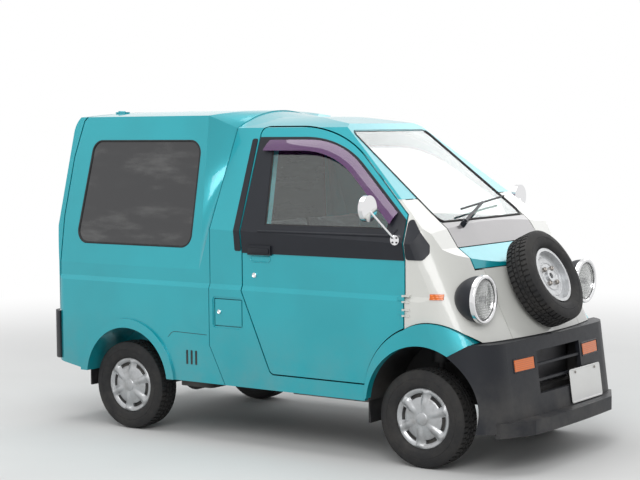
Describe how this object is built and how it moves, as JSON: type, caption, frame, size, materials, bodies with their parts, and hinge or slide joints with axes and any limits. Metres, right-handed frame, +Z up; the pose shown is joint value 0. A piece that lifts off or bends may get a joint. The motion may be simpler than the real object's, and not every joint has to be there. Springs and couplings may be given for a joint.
{
  "type": "closed kei van",
  "caption": "Tiny two-door closed delivery van with a dome-shaped cab, a high box body, a tailgate and a spare wheel on the nose.",
  "frame": {"origin": "on the ground under the middle of the vehicle's length and width", "axes": "+X forward, +Y to the vehicle's left, +Z up"},
  "size_m": [2.886, 1.584, 1.699],
  "materials": {
    "teal_paint": "glossy metallic teal",
    "white_paint": "glossy white",
    "grey_paint": "satin grey",
    "silver_paint": "satin silver",
    "bright_metal": "polished",
    "black_steel": "satin black",
    "pipe_steel": "dull steel",
    "cast_block": "cast",
    "cooler": "matt dark",
    "black_plastic": "grained black",
    "grey_plastic": "grained dark grey",
    "orange_lens": "clear orange",
    "red_lens": "clear red",
    "clear_glass": "clear",
    "tinted_glass": "dark tint",
    "tyre": "rubber",
    "flap_rubber": "matt",
    "seat_cloth": "woven grey"
  },
  "bodies": {
    "body": {"box_glass": "tinted_glass", "cab_floor": "black_steel", "cab_shell": "teal_paint", "cargo_box": "teal_paint", "chassis_frame": "black_steel", "cowl_panel": "grey_paint", "cowl_strip": "teal_paint", "dashboard": "grey_plastic", "engine": "cast_block", "exhaust": "pipe_steel", "front_bumper": "black_plastic", "front_flares": "teal_paint", "front_suspension": "black_steel", "fuel_tank": "black_steel", "headlight_lenses": "clear_glass", "headlight_pods": "black_plastic", "headlight_rings": "bright_metal", "indicators": "orange_lens", "mud_flaps": "flap_rubber", "nose_panels": "white_paint", "pillar_trim": "black_plastic", "radiator": "cooler", "rear_axle": "black_steel", "rear_bumper": "black_plastic", "rear_lamps": "red_lens", "seats": "seat_cloth", "spare_carrier": "black_steel", "spare_rim": "bright_metal", "spare_tyre": "tyre", "steering_wheel": "grey_plastic", "windscreen": "clear_glass", "wiper": "black_plastic"},
    "door_right": {"door_right": "teal_paint", "door_trim_right": "black_plastic", "door_glass_right": "clear_glass", "mirror_right": "bright_metal"},
    "door_left": {"door_left": "teal_paint", "door_trim_left": "black_plastic", "door_glass_left": "clear_glass", "mirror_left": "bright_metal"},
    "tailgate": {"tailgate": "teal_paint", "tailgate_glass": "tinted_glass"},
    "fuel_lid": {"fuel_lid": "teal_paint"},
    "knuckle_right": {"knuckle_right": "black_steel"},
    "knuckle_left": {"knuckle_left": "black_steel"},
    "wheel_front_right": {"wheel_front_right": "silver_paint", "tyre_front_right": "tyre"},
    "wheel_front_left": {"wheel_front_left": "silver_paint", "tyre_front_left": "tyre"},
    "wheel_rear_right": {"wheel_rear_right": "silver_paint", "tyre_rear_right": "tyre"},
    "wheel_rear_left": {"wheel_rear_left": "silver_paint", "tyre_rear_left": "tyre"}
  },
  "joints": [
    {"name": "door_right_hinge", "type": "hinge", "parent": "body", "child": "door_right", "pos_m": [0.863, -0.654, 0.768], "axis": [0, 0, 1], "range_deg": [0, 65]},
    {"name": "door_left_hinge", "type": "hinge", "parent": "body", "child": "door_left", "pos_m": [0.863, 0.654, 0.768], "axis": [0, 0, -1], "range_deg": [0, 65]},
    {"name": "tailgate_hinge", "type": "hinge", "parent": "body", "child": "tailgate", "pos_m": [-1.208, 0, 1.693], "axis": [0, 1, 0], "range_deg": [0, 85]},
    {"name": "fuel_lid_hinge", "type": "hinge", "parent": "body", "child": "fuel_lid", "pos_m": [-0.108, -0.641, 0.67], "axis": [0, 0, 1], "range_deg": [0, 90]},
    {"name": "steering_right", "type": "hinge", "parent": "body", "child": "knuckle_right", "pos_m": [0.932, -0.5, 0.235], "axis": [0, 0, 1], "range_deg": [-30, 30]},
    {"name": "steering_left", "type": "hinge", "parent": "body", "child": "knuckle_left", "pos_m": [0.932, 0.5, 0.235], "axis": [0, 0, 1], "range_deg": [-30, 30]},
    {"name": "wheel_front_right_spin", "type": "hinge", "parent": "knuckle_right", "child": "wheel_front_right", "pos_m": [0.932, -0.545, 0.235], "axis": [0, 1, 0], "continuous": true},
    {"name": "wheel_front_left_spin", "type": "hinge", "parent": "knuckle_left", "child": "wheel_front_left", "pos_m": [0.932, 0.545, 0.235], "axis": [0, 1, 0], "continuous": true},
    {"name": "wheel_rear_right_spin", "type": "hinge", "parent": "body", "child": "wheel_rear_right", "pos_m": [-0.908, -0.545, 0.235], "axis": [0, 1, 0], "continuous": true},
    {"name": "wheel_rear_left_spin", "type": "hinge", "parent": "body", "child": "wheel_rear_left", "pos_m": [-0.908, 0.545, 0.235], "axis": [0, 1, 0], "continuous": true}
  ],
  "couplings": [
    {"joint": "steering_left", "follows": "steering_right", "ratio": 1}
  ]
}
